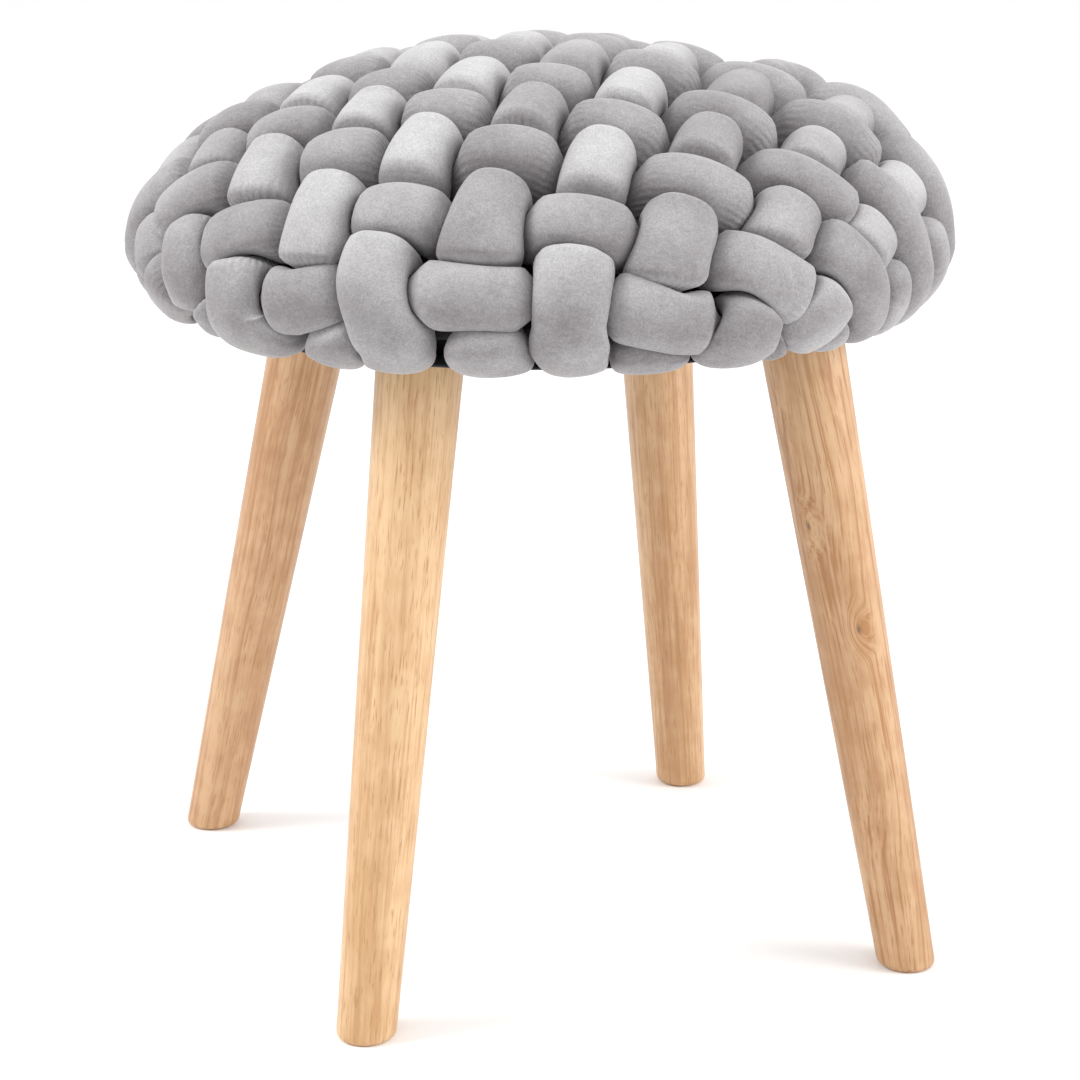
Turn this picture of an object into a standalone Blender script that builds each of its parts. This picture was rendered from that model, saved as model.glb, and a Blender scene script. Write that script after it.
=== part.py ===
"""A pouf seat woven from padded velvet tubes, on a round four-legged wooden stool.

Twenty-two padded tubes cross over and under each other on a domed seat, wrap round its rim and
tuck in under it, above a black cloth. Four splayed, tapered legs stand under the cloth.

The weave is laid out flat first, on a plan with x across and y along, and the plan is then
wrapped over the seat: a plan point keeps its bearing, and its distance from the middle is the
distance walked over the dome, round the rim and in underneath. A depth from 0 to 1 runs from
the seat's surface up to the crest of the upper tubes.

Sizes are in millimetres until a mesh is made, which is in metres, +Z up. The origin is on the
floor, in the middle of the whole as seen from above.
"""

import math

import bmesh
import bpy
import numpy as np
from mathutils.bvhtree import BVHTree

MM = 0.001

# ---- Seat ------------------------------------------------------------------------------------
# Sections from the middle of the dome, over the rim, to the tucked ends of the tubes:
# radius and height of the tubes' crest, radius and height of the seat surface that carries them.
SECTIONS = (
    # crest r, crest z, seat r, seat z
    (0.0, 439.0, 0.0, 385.0),
    (40.0, 437.0, 34.7, 383.3),
    (80.0, 430.6, 68.9, 377.8),
    (115.0, 420.8, 97.7, 369.8),
    (146.0, 407.0, 121.5, 361.0),
    (171.5, 389.5, 140.6, 352.5),
    (189.0, 370.5, 153.5, 345.6),
    (198.5, 351.5, 160.5, 340.6),
    (200.5, 337.0, 163.0, 336.5),
    (197.0, 322.0, 164.0, 331.0),
    (187.0, 311.0, 163.0, 326.5),
    (173.0, 307.5, 160.0, 323.5),
    (165.5, 312.8, 157.0, 322.5),
    (157.0, 314.5, 152.0, 322.0),
)
# The tubes lie fuller towards one side. Between these bearings the fullness changes smoothly.
FULLNESS = (
    # bearing in degrees from +X, added part of the tubes' depth on the shoulder
    (-180.0, -0.05),
    (-140.0, 0.04),
    (-60.0, 0.0),
    (-15.0, 0.06),
    (40.0, 0.28),
    (90.0, 0.1),
    (140.0, -0.12),
    (180.0, -0.05),
)
SHOULDER_START = 90.0  # distances walked from the middle between which the fullness comes in
SHOULDER_FULL = 175.0
SEAT_CLEARANCE = 1.0
SEAT_STEP_RADIUS = 148.0
SEAT_STEP_HEIGHT = 321.2
SEAT_FOOT_RADIUS = 145.0
SEAT_BOTTOM = 312.8
SEAT_SIDES = 48
SEAT_FLAT_RADIUS = 10.0  # the flat middle of the seat's top
CLOTH_RADIUS = 164.5
CLOTH_TOP = 312.4
CLOTH_THICKNESS = 1.8
CLOTH_EDGE = 0.6

# ---- Legs ------------------------------------------------------------------------------------
LEG_GAP = 0.3  # between a leg and the cloth that it stands under
LEG_TOP = CLOTH_TOP - CLOTH_THICKNESS - LEG_GAP
LEG_TOP_RADIUS = 20.0
LEG_FOOT_RADIUS = 13.8
LEG_ROUNDING = 3.0
LEG_ROUNDING_STEP = 0.3  # part of the rounding at which it has its middle point
LEG_SIDES = 24
# Middles of each leg's foot and top, measured from the middle of the seat.
LEGS = (
    # name, foot x, foot y, top x, top y
    ("leg_front_left", -33.3, -183.6, -20.8, -125.1),
    ("leg_front_right", 197.1, -42.5, 133.3, -24.8),
    ("leg_back_right", 40.0, 178.0, 30.4, 127.0),
    ("leg_back_left", -197.2, 47.8, -120.7, 28.3),
)

# ---- Weave -----------------------------------------------------------------------------------
# One row for each tube: where its middle lies on the plan, how far it drifts sideways over
# CURVE_SPAN of its run, and how far it bows there. The last tubes bow in to follow the round rim.
CURVE_SPAN = 200.0
ALONG_TUBES = (
    # name, offset in x, skew, bow
    ("along_01", -166.0, 5.0, -8.0),
    ("along_02", -128.0, 6.0, -8.0),
    ("along_03", -89.0, 6.0, -8.0),
    ("along_04", -51.0, 4.0, -5.0),
    ("along_05", -15.0, 2.0, -3.0),
    ("along_06", 23.0, 1.0, -1.0),
    ("along_07", 60.0, -2.0, 3.0),
    ("along_08", 104.0, -1.0, 1.0),
    ("along_09", 148.0, -1.0, 0.0),
    ("along_10", 186.0, 0.0, -8.0),
)
ACROSS_TUBES = (
    # name, offset in y, skew, bow
    ("across_01", -208.0, 4.0, 57.0),
    ("across_02", -173.0, 3.0, 42.0),
    ("across_03", -134.0, 2.0, 28.0),
    ("across_04", -101.0, 2.0, 17.0),
    ("across_05", -65.0, 1.0, 4.0),
    ("across_06", -16.0, 1.0, 4.0),
    ("across_07", 22.0, 1.0, 2.0),
    ("across_08", 60.0, 0.0, -2.0),
    ("across_09", 98.0, 0.0, -10.0),
    ("across_10", 136.0, 0.0, -24.0),
    ("across_11", 173.0, 0.0, -40.0),
    ("across_12", 208.0, 0.0, -57.0),
)
# Below the rim, the front ends of the tubes along are pulled part of the way towards one place.
PULL = 0.14
PULL_TOWARDS = 70.0
PULL_START = 215.0  # distances along the run between which the pull comes in
PULL_FULL = 270.0
HALF_WIDTH = 17.2
WIDTH_LEVEL = 0.7  # the level at which a tube has its half width
WIDEST_ON_PLAN = 30.0
TUBE_GAP = 1.0  # where two tubes press together
SIDE_GAP = 1.6  # between neighbours that run side by side
LEVEL_STEP = 0.25
LONE_HALF_DEPTH = 0.44
SQUARENESS = 2.3
SHOULDER_PART = 0.73  # part of the half width at which a tube's section has its shoulders
TUCK_RADIUS_ON_PLAN = 289.0
LAST_CROSSING_RADIUS = 263.0  # no tubes cross further from the middle of the plan than this
CORNER_STOP = 18.0  # tubes that would cross further out both end this far before it
END_STATIONS = (
    # part of the way from the last crossing to the tip, part of the full section
    (0.35, 1.0),
    (0.65, 1.0),
    (0.9, 0.95),
    (1.0, 0.6),
)
CLEAR_BY = 0.3  # least distance between two tubes' faces, on each tube
EASE_STEP = 0.05  # part of the way to its ring's middle that a touching point moves
EASE_ROUNDS = 80
EPSILON = 1e-6


# ---- Materials -------------------------------------------------------------------------------
def make_material(name, colour, roughness, sheen=0.0):
    """A Principled material of one colour."""
    material = bpy.data.materials.new(name)
    material.use_nodes = True
    shader = material.node_tree.nodes["Principled BSDF"]
    shader.inputs["Base Color"].default_value = (*colour, 1.0)
    shader.inputs["Roughness"].default_value = roughness
    shader.inputs["Metallic"].default_value = 0.0
    shader.inputs["Sheen Weight"].default_value = sheen
    return material


def add_object(name, vertices, faces, material):
    """Makes a closed mesh object from millimetre points, with its faces turned outwards."""
    mesh = bpy.data.meshes.new(name)
    mesh.from_pydata([tuple(c * MM for c in v) for v in vertices], [], faces)
    work = bmesh.new()
    work.from_mesh(mesh)
    bmesh.ops.recalc_face_normals(work, faces=work.faces)
    work.to_mesh(mesh)
    work.free()
    mesh.materials.append(material)
    mesh.shade_smooth()
    mesh.set_sharp_from_angle(angle=math.radians(50.0))
    part = bpy.data.objects.new(name, mesh)
    bpy.context.scene.collection.objects.link(part)
    return part


def loft(rings):
    """Vertices and faces of a closed body through equal rings of points, with flat ends."""
    count = len(rings[0])
    vertices = [tuple(point) for ring in rings for point in ring]
    faces = []
    for low in range(0, (len(rings) - 1) * count, count):
        for k in range(count):
            after = (k + 1) % count
            faces.append((low + k, low + after, low + count + after, low + count + k))
    faces.append(tuple(range(count)))
    faces.append(tuple(range(len(vertices) - count, len(vertices))))
    return vertices, faces


def turned_ring(radius, height, sides):
    """A level circle of points round the seat's axis."""
    angles = [math.tau * k / sides for k in range(sides)]
    return [(radius * math.cos(a), radius * math.sin(a), height) for a in angles]


# ---- The wrap from the plan to the seat ------------------------------------------------------
def hermite(x, xs, ys):
    """Smooth interpolation through a table, with slopes taken from the neighbouring rows."""
    slopes = np.gradient(ys, xs)
    k = np.clip(np.searchsorted(xs, x) - 1, 0, len(xs) - 2)
    width = xs[k + 1] - xs[k]
    t = (x - xs[k]) / width
    return (
        (1 + 2 * t) * (1 - t) ** 2 * ys[k]
        + t * (1 - t) ** 2 * width * slopes[k]
        + t**2 * (3 - 2 * t) * ys[k + 1]
        + t**2 * (t - 1) * width * slopes[k + 1]
    )


class Seat:
    """Places plan points on the seat."""

    def __init__(self):
        table = np.array(SECTIONS)
        steps = np.hypot(*np.diff(table[:, :2], axis=0).T)
        self.walked = np.concatenate(([0.0], np.cumsum(steps)))
        self.table = table

    def section(self, walked):
        """Crest radius and height, seat radius and height, at a distance from the middle."""
        walked = np.clip(walked, 0.0, self.walked[-1])
        return [hermite(walked, self.walked, column) for column in self.table.T]

    def fullness(self, plan, walked):
        """How much deeper the tubes lie than the table of sections says."""
        bearings, parts = np.array(FULLNESS).T
        bearing = np.degrees(np.arctan2(plan[:, 1], plan[:, 0]))
        k = np.clip(np.searchsorted(bearings, bearing) - 1, 0, len(bearings) - 2)
        between = (bearing - bearings[k]) / (bearings[k + 1] - bearings[k])
        part = parts[k] + (parts[k + 1] - parts[k]) * smooth_step(between)
        come_in = (walked - SHOULDER_START) / (SHOULDER_FULL - SHOULDER_START)
        return part * smooth_step(come_in)

    def spread(self, walked):
        """How much wider the plan is than the seat seen from above, at a distance walked."""
        radius = self.section(walked)[0]
        return np.maximum(walked, EPSILON) / np.maximum(radius, EPSILON)

    def depth(self, plan):
        """Millimetres between the seat's surface and the crest."""
        crest_r, crest_z, seat_r, seat_z = self.section(np.hypot(*plan.T))
        return np.hypot(crest_r - seat_r, crest_z - seat_z)

    def place(self, plan, level):
        """Points in space for plan points at levels from 0 (seat) to 1 (crest)."""
        walked = np.hypot(*plan.T)
        crest_r, crest_z, seat_r, seat_z = self.section(walked)
        level = level * (1.0 + self.fullness(plan, walked))
        radius = seat_r + (crest_r - seat_r) * level
        height = seat_z + (crest_z - seat_z) * level
        bearing = plan / np.maximum(walked, EPSILON)[:, None]
        return np.column_stack((bearing * radius[:, None], height))


# ---- Tubes -----------------------------------------------------------------------------------
class Tube:
    """The route of one tube on the plan."""

    def __init__(self, seat, name, offset, skew, bow, runs_along):
        self.seat = seat
        self.name = name
        self.offset = offset
        self.skew = skew
        self.bow = bow
        self.runs_along = runs_along

    def sideways(self, run):
        """The route's sideways place, at a distance along its run."""
        t = run / CURVE_SPAN
        from_above = self.offset + self.skew * t + self.bow * t**2
        if self.runs_along:
            pulled = PULL * smooth_step((-run - PULL_START) / (PULL_FULL - PULL_START))
            from_above += pulled * (PULL_TOWARDS - from_above)
        return from_above * self.seat.spread(np.hypot(from_above, run))

    def point(self, run):
        """The plan point at a distance along the run."""
        pair = (self.sideways(run), run) if self.runs_along else (run, self.sideways(run))
        return np.array(pair)

    def forward(self, run):
        """The direction of the route, on the plan."""
        step = self.point(run + 1.0) - self.point(run - 1.0)
        return step / np.hypot(*step)

    def crossing(self, other):
        """The run at which another tube crosses this one."""
        here = other.offset
        for _ in range(12):
            here = other.sideways(self.sideways(here))
        return here

    def tip(self, side):
        """The run, on the positive or negative side, at which the tube is tucked in."""
        low, high = 0.0, TUCK_RADIUS_ON_PLAN
        for _ in range(30):
            middle = (low + high) / 2.0
            inside = np.hypot(*self.point(side * middle)) < TUCK_RADIUS_ON_PLAN
            low, high = (middle, high) if inside else (low, middle)
        return side * low


class Crossing:
    """Where one tube crosses another: the plan point, the way each runs, and their reach."""

    def __init__(self, along, across):
        self.run_along = along.crossing(across)
        self.point = along.point(self.run_along)
        self.run_across = self.point[0]
        self.way_along = along.forward(self.run_along)
        self.way_across = across.forward(self.run_across)


def smooth_step(x):
    """0 below 0, 1 above 1, and a smooth rise between."""
    x = np.clip(x, 0.0, 1.0)
    return x * x * (3.0 - 2.0 * x)


def free_width(seat, point, side, forward):
    """Half width on the plan, along side, of a tube that has its full size on the seat."""
    probe = np.array([point + side, point - side, point + forward, point - forward])
    placed = seat.place(probe, np.full(len(probe), WIDTH_LEVEL))
    across = (placed[0] - placed[1]) / 2.0
    ahead = placed[2] - placed[3]
    slant = np.linalg.norm(np.cross(across, ahead)) / np.linalg.norm(ahead)
    return min(HALF_WIDTH / slant, WIDEST_ON_PLAN)


def reach(seat, point, side, forward, neighbours):
    """Half widths of a tube towards its two neighbours, kept clear of them."""
    free = free_width(seat, point, side, forward)
    widths = []
    for neighbour in neighbours:
        apart = math.inf if neighbour is None else np.hypot(*(neighbour - point))
        widths.append(min(free, (apart - SIDE_GAP) / 2.0))
    return widths


def distances(here, pair):
    """Distances to a pair of points. One that is None counts as far away as the other."""
    gaps = [None if point is None else np.hypot(*(point - here)) for point in pair]
    return [gap or gaps[1 - k] for k, gap in enumerate(gaps)]


def section_height(part):
    """Height of a tube's section, where its middle is 1, at a part of its half width."""
    return (1.0 - abs(part) ** SQUARENESS) ** (1.0 / SQUARENESS)


def swing(phase):
    """1 at a crossing, 0 halfway to the next one and -1 there."""
    return math.sin(math.pi / 2 * math.cos(math.pi * phase))


# The eight points of a tube's section: part of the reach sideways, and up or down.
SECTION = tuple(
    (part, part_up * section_height(part))
    for part, part_up in (
        (1.0, 0.0),
        (SHOULDER_PART, 1.0),
        (0.0, 1.0),
        (-SHOULDER_PART, 1.0),
        (-1.0, 0.0),
        (-SHOULDER_PART, -1.0),
        (0.0, -1.0),
        (SHOULDER_PART, -1.0),
    )
)
HUBS = (2, 6)  # the middle points of the section's top and bottom


class Weave:
    """Every tube and crossing, with the reach of the tubes at each crossing."""

    def __init__(self):
        self.seat = Seat()
        self.along = [Tube(self.seat, *row, True) for row in ALONG_TUBES]
        self.across = [Tube(self.seat, *row, False) for row in ACROSS_TUBES]
        self.crossings = [[Crossing(a, c) for c in self.across] for a in self.along]
        for a, column in enumerate(self.crossings):
            for c, crossing in enumerate(column):
                self.set_reach(a, c, crossing)

    def point(self, a, c):
        """The plan point of a crossing, or None past the last tube."""
        if 0 <= a < len(self.along) and 0 <= c < len(self.across):
            return self.crossings[a][c].point
        return None

    def set_reach(self, a, c, crossing):
        """Reach of the tube along and of the tube across, and how far the next crossings are."""
        here = crossing.point
        beside = [self.point(a - 1, c), self.point(a + 1, c)]
        beyond = [self.point(a, c - 1), self.point(a, c + 1)]
        ways = (crossing.way_across, crossing.way_along)
        crossing.reach_of_along = reach(self.seat, here, *ways, beside)
        crossing.reach_of_across = reach(self.seat, here, *reversed(ways), beyond)
        crossing.next_across = distances(here, beside)
        crossing.next_along = distances(here, beyond)

    def line(self, tube):
        """A tube's crossings in order, each with whether the tube is on top there."""
        if tube.runs_along:
            a = self.along.index(tube)
            met = [(x, (a + c) % 2 == 0) for c, x in enumerate(self.crossings[a])]
        else:
            c = self.across.index(tube)
            met = [(column[c], (a + c) % 2 == 1) for a, column in enumerate(self.crossings)]
        return [pair for pair in met if np.hypot(*pair[0].point) < LAST_CROSSING_RADIUS]

    def tip(self, tube, side):
        """The run at which a tube ends: tucked in, or short of a tube it would meet there."""
        if tube.runs_along:
            runs = [(x, x.run_along) for x in self.crossings[self.along.index(tube)]]
        else:
            c = self.across.index(tube)
            runs = [(column[c], column[c].run_across) for column in self.crossings]
        stops = [
            abs(run) - CORNER_STOP
            for x, run in runs
            if np.hypot(*x.point) >= LAST_CROSSING_RADIUS and run * side > 0.0
        ]
        return side * min([abs(tube.tip(side)), *stops])


def level_at(on_top, offset, next_gaps):
    """Level of a tube's middle, at an offset from a crossing along its way."""
    gap = next_gaps[0] if offset < 0.0 else next_gaps[1]
    return 0.5 + LEVEL_STEP * swing(offset / gap) * (1.0 if on_top else -1.0)


def crossing_rings(weave, tube, crossing, on_top):
    """Three rings of a tube at a crossing. Both tubes have their points at the same places."""
    if tube.runs_along:
        way, side = crossing.way_along, crossing.way_across
        own_reach, other_reach = crossing.reach_of_along, crossing.reach_of_across
        own_next, other_next = crossing.next_along, crossing.next_across
    else:
        way, side = crossing.way_across, crossing.way_along
        own_reach, other_reach = crossing.reach_of_across, crossing.reach_of_along
        own_next, other_next = crossing.next_across, crossing.next_along
    facing = 1.0 if on_top else -1.0
    gap = TUBE_GAP / 2.0 / weave.seat.depth(crossing.point[None])[0]
    rings = []
    for part_along in (-SHOULDER_PART, 0.0, SHOULDER_PART):
        ahead = part_along * (other_reach[0] if part_along < 0.0 else other_reach[1])
        middle = level_at(on_top, ahead, own_next)
        plans, levels = [], []
        for part, up in SECTION:
            offset = part * (own_reach[0] if part < 0.0 else own_reach[1])
            level = middle + up * LEVEL_STEP
            own_face = middle - facing * abs(up) * LEVEL_STEP
            other_middle = level_at(not on_top, offset, other_next)
            other_face = other_middle + facing * section_height(part_along) * LEVEL_STEP
            if facing * up < 0.0 and facing * (other_face - own_face) > -2.0 * gap:
                level = (own_face + other_face) / 2.0 + facing * gap
            plans.append(crossing.point + ahead * way + offset * side)
            levels.append(level)
        rings.append(weave.seat.place(np.array(plans), np.array(levels)))
    return rings


def end_rings(weave, tube, crossing, on_top, side_of_run):
    """Rings of a tube from its last crossing to its tip, where it fills the whole depth."""
    family = weave.along if tube.runs_along else weave.across
    index = family.index(tube)
    last = crossing.run_along if tube.runs_along else crossing.run_across
    way = crossing.way_across if tube.runs_along else crossing.way_along
    other_reach = crossing.reach_of_across if tube.runs_along else crossing.reach_of_along
    start = last + side_of_run * SHOULDER_PART * other_reach[0 if side_of_run < 0.0 else 1]
    tip = weave.tip(tube, side_of_run)
    last_level = 0.5 + LEVEL_STEP * swing(0.5 * SHOULDER_PART) * (1.0 if on_top else -1.0)
    rings = []
    for part, size in END_STATIONS:
        run = start + (tip - start) * part
        alone = smooth_step(part / END_STATIONS[1][0])
        point = tube.point(run)
        forward = tube.forward(run)
        side = np.array((forward[1], -forward[0])) * (1.0 if tube.runs_along else -1.0)
        side = side * alone + way * (1.0 - alone)
        side /= np.hypot(*side)
        neighbours = [
            family[k].point(run) if 0 <= k < len(family) else None
            for k in (index - 1, index + 1)
        ]
        widths = reach(weave.seat, point, side, forward, neighbours)
        middle = last_level + (0.5 - last_level) * alone
        half_depth = LEVEL_STEP + (LONE_HALF_DEPTH - LEVEL_STEP) * alone
        offsets = [x * size * (widths[0] if x < 0.0 else widths[1]) for x, _ in SECTION]
        plans = point + np.outer(offsets, side)
        levels = np.array([middle + up * half_depth * size for _, up in SECTION])
        rings.append(weave.seat.place(plans, levels))
    return rings


def tube_mesh(weave, tube):
    """Vertices and triangles of a tube."""
    line = weave.line(tube)
    rings = list(reversed(end_rings(weave, tube, *line[0], -1.0)))
    hub_rings = []
    for crossing, on_top in line:
        hub_rings.append(len(rings) + 1)
        rings.extend(crossing_rings(weave, tube, crossing, on_top))
    rings.extend(end_rings(weave, tube, *line[-1], 1.0))
    count = len(SECTION)
    faces = []
    for r in range(len(rings) - 1):
        for k in range(count):
            after = (k + 1) % count
            low, low_after = r * count + k, r * count + after
            high, high_after = low + count, low_after + count
            from_hub = (r in hub_rings and after in HUBS) or (r + 1 in hub_rings and k in HUBS)
            if from_hub:
                faces += [(low, low_after, high), (low_after, high_after, high)]
            else:
                faces += [(low, low_after, high_after), (low, high_after, high)]
    faces.append(tuple(range(count)))
    faces.append(tuple(range((len(rings) - 1) * count, len(rings) * count)))
    return [point for ring in rings for point in ring], faces


def make_tubes(material):
    """The woven tubes, one object each."""
    weave = Weave()
    return [
        add_object(f"tube_{tube.name}", *tube_mesh(weave, tube), material)
        for tube in weave.along + weave.across
    ]


def clearance_tree(body):
    """Search tree of a body's faces, moved out by the clearance, with its triangles."""
    mesh = body.data
    mesh.calc_loop_triangles()
    triangles = [tuple(t.vertices) for t in mesh.loop_triangles]
    points = [v.co / MM + v.normal * CLEAR_BY for v in mesh.vertices]
    return BVHTree.FromPolygons(points, triangles), triangles


def ease_apart(tubes, others):
    """Moves the points of tubes that touch another body in, towards the tube's own middle."""
    count = len(SECTION)
    fixed = [clearance_tree(body) for body in others]
    for _ in range(EASE_ROUNDS):
        trees = [clearance_tree(tube) for tube in tubes] + fixed
        touching = [set() for _ in trees]
        for i in range(len(tubes)):
            for j in range(i + 1, len(trees)):
                for mine, theirs in trees[i][0].overlap(trees[j][0]):
                    touching[i].update(trees[i][1][mine])
                    touching[j].update(trees[j][1][theirs])
        if not any(touching):
            return
        for tube, found in zip(tubes, touching):
            points = np.array([v.co for v in tube.data.vertices])
            middles = points.reshape(-1, count, 3).mean(axis=1).repeat(count, axis=0)
            rows = sorted(found)
            points[rows] += (middles[rows] - points[rows]) * EASE_STEP
            tube.data.vertices.foreach_set("co", points.ravel())
            tube.data.update()


# ---- Stool -----------------------------------------------------------------------------------
def make_seat(material):
    """The domed round seat, stepped in underneath where the tube ends tuck in."""
    rings = []
    for crest_radius, crest_height, radius, height in reversed(SECTIONS[1:]):
        inward = np.array((radius - crest_radius, height - crest_height))
        inward *= SEAT_CLEARANCE / np.hypot(*inward)
        rings.append(turned_ring(radius + inward[0], height + inward[1], SEAT_SIDES))
    under = (
        turned_ring(SEAT_FOOT_RADIUS, SEAT_BOTTOM, SEAT_SIDES),
        turned_ring(SEAT_STEP_RADIUS, SEAT_STEP_HEIGHT, SEAT_SIDES),
    )
    top = turned_ring(SEAT_FLAT_RADIUS, SECTIONS[0][3] - SEAT_CLEARANCE, SEAT_SIDES)
    return add_object("seat", *loft([*under, *rings, top]), material)


def make_cloth(material):
    """The black cloth that closes the underside, a flat disc."""
    bottom = CLOTH_TOP - CLOTH_THICKNESS
    rings = (
        turned_ring(CLOTH_RADIUS - CLOTH_EDGE, bottom, SEAT_SIDES),
        turned_ring(CLOTH_RADIUS, bottom + CLOTH_EDGE, SEAT_SIDES),
        turned_ring(CLOTH_RADIUS, CLOTH_TOP, SEAT_SIDES),
    )
    return add_object("under_cloth", *loft(rings), material)


def make_leg(name, foot, top, material):
    """A splayed, tapered leg, cut level at both ends, with a rounded foot."""
    lean = np.array(foot) - np.array(top)
    splay = math.atan2(np.hypot(*lean), LEG_TOP)
    outward = lean / np.hypot(*lean)
    sideways = np.array((-outward[1], outward[0]))
    stations = (
        # height, how much narrower than the taper
        (0.0, LEG_ROUNDING),
        (LEG_ROUNDING * LEG_ROUNDING_STEP, LEG_ROUNDING * LEG_ROUNDING_STEP),
        (LEG_ROUNDING, 0.0),
        (LEG_TOP, 0.0),
    )
    rings = []
    for height, narrower in stations:
        part = height / LEG_TOP
        radius = LEG_FOOT_RADIUS + (LEG_TOP_RADIUS - LEG_FOOT_RADIUS) * part - narrower
        middle = np.array(foot) - lean * part
        ring = []
        for k in range(LEG_SIDES):
            angle = math.tau * k / LEG_SIDES
            out = radius / math.cos(splay) * math.cos(angle)
            point = middle + outward * out + sideways * radius * math.sin(angle)
            ring.append((point[0], point[1], height))
        rings.append(ring)
    return add_object(name, *loft(rings), material)


def centre(bodies):
    """Moves every body so that the origin is in the middle of the whole, seen from above."""
    points = np.concatenate([[v.co for v in body.data.vertices] for body in bodies])
    middle = (points.min(axis=0) + points.max(axis=0)) / 2.0
    for body in bodies:
        for vertex in body.data.vertices:
            vertex.co.x -= middle[0]
            vertex.co.y -= middle[1]


def main():
    for old in list(bpy.data.objects):
        bpy.data.objects.remove(old)
    velvet = make_material("velvet", (0.42, 0.42, 0.44), 0.9, sheen=0.6)
    black_cloth = make_material("black_cloth", (0.02, 0.02, 0.02), 0.95)
    wood = make_material("light_wood", (0.66, 0.43, 0.22), 0.5)
    tubes = make_tubes(velvet)
    under = [make_seat(black_cloth), make_cloth(black_cloth)]
    ease_apart(tubes, under)
    legs = [make_leg(name, xy[:2], xy[2:], wood) for name, *xy in LEGS]
    centre([*tubes, *under, *legs])


main()
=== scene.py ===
"""Looks for the pouf seat woven from padded velvet tubes, on its four-legged wooden stool.

Most tables repeat the part's own. The padding's fullness and a few routes were fitted to the photo
again after the part was finished, as noted where they stand. Each tube is grown outwards from its
middle line until it reaches its full size or presses against a neighbour, which gives the pillows
and the tight creases between them. Sizes are in millimetres until a mesh is made.
"""

import math

import bpy
import numpy as np
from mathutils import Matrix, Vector


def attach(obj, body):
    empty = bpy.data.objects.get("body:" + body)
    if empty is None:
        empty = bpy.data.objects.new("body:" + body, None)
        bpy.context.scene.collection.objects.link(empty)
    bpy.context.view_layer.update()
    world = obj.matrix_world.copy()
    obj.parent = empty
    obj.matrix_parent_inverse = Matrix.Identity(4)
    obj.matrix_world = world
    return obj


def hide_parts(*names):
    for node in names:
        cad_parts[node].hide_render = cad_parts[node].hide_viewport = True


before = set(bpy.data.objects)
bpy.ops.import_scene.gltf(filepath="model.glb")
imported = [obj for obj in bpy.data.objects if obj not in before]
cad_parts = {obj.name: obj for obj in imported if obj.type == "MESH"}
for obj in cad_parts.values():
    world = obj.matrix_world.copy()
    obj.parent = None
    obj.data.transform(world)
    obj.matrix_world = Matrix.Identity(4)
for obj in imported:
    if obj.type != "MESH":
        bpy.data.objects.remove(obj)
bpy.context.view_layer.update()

MM = 0.001
EPSILON = 1e-6
# The middle of the seat, measured from the part's origin.
SEAT_MIDDLE = np.array((0.05, -1.483, 0.0))

# ---- Tables that repeat the part's own -------------------------------------------------------
SECTIONS = (
    # crest r, crest z, seat r, seat z
    (0.0, 439.0, 0.0, 385.0),
    (40.0, 437.0, 34.7, 383.3),
    (80.0, 430.6, 68.9, 377.8),
    (115.0, 420.8, 97.7, 369.8),
    (146.0, 407.0, 121.5, 361.0),
    (171.5, 389.5, 140.6, 352.5),
    (189.0, 370.5, 153.5, 345.6),
    (198.5, 351.5, 160.5, 340.6),
    (200.5, 337.0, 163.0, 336.5),
    (197.0, 322.0, 164.0, 331.0),
    (187.0, 311.0, 163.0, 326.5),
    (173.0, 307.5, 160.0, 323.5),
    (165.5, 312.8, 157.0, 322.5),
    (157.0, 314.5, 152.0, 322.0),
)
CURVE_SPAN = 200.0  # distance along a tube's run at which it has its whole skew and bow
PULL = 0.14  # the front ends are pulled together a little below the rim
PULL_TOWARDS = 70.0
PULL_START = 215.0
PULL_FULL = 270.0
TUCK_RADIUS_ON_PLAN = 289.0
LAST_CROSSING_RADIUS = 263.0  # no tubes cross further from the middle of the plan than this
LEG_TOP = 310.3
LEG_TOP_RADIUS = 20.0
LEG_FOOT_RADIUS = 13.8
LEGS = (
    # name, foot x, foot y, top x, top y
    ("leg_front_left", -33.3, -183.6, -20.8, -125.1),
    ("leg_front_right", 197.1, -42.5, 133.3, -24.8),
    ("leg_back_right", 40.0, 178.0, 30.4, 127.0),
    ("leg_back_left", -197.2, 47.8, -120.7, 28.3),
)

# ---- Tubes -----------------------------------------------------------------------------------
# The routes are the part's own, apart from the offset and bow of along_05 and the skews and bows
# of across_02 to across_07, which follow the photo more closely.
ALONG_TUBES = (
    # name, offset in x, skew, bow, how much painted top light its nap gives, how far it waves,
    # half its width
    ("along_01", -166.0, 5.0, -8.0, 0.5, 0.1, 16.5),
    ("along_02", -128.0, 6.0, -8.0, 0.45, 0.18, 15.2),
    ("along_03", -89.0, 6.0, -8.0, 0.85, 0.24, 15.2),
    ("along_04", -51.0, 4.0, -5.0, 0.95, 0.24, 15.2),
    ("along_05", -14.0, 2.0, -9.0, 1.0, 0.24, 15.2),
    ("along_06", 23.0, 1.0, -1.0, 0.15, 0.24, 15.2),
    ("along_07", 60.0, -2.0, 3.0, 1.0, 0.24, 15.2),
    ("along_08", 104.0, -1.0, 1.0, 0.15, 0.24, 15.2),
    ("along_09", 148.0, -1.0, 0.0, 0.4, 0.18, 15.2),
    ("along_10", 186.0, 0.0, -8.0, 0.9, 0.1, 16.5),
)
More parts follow.
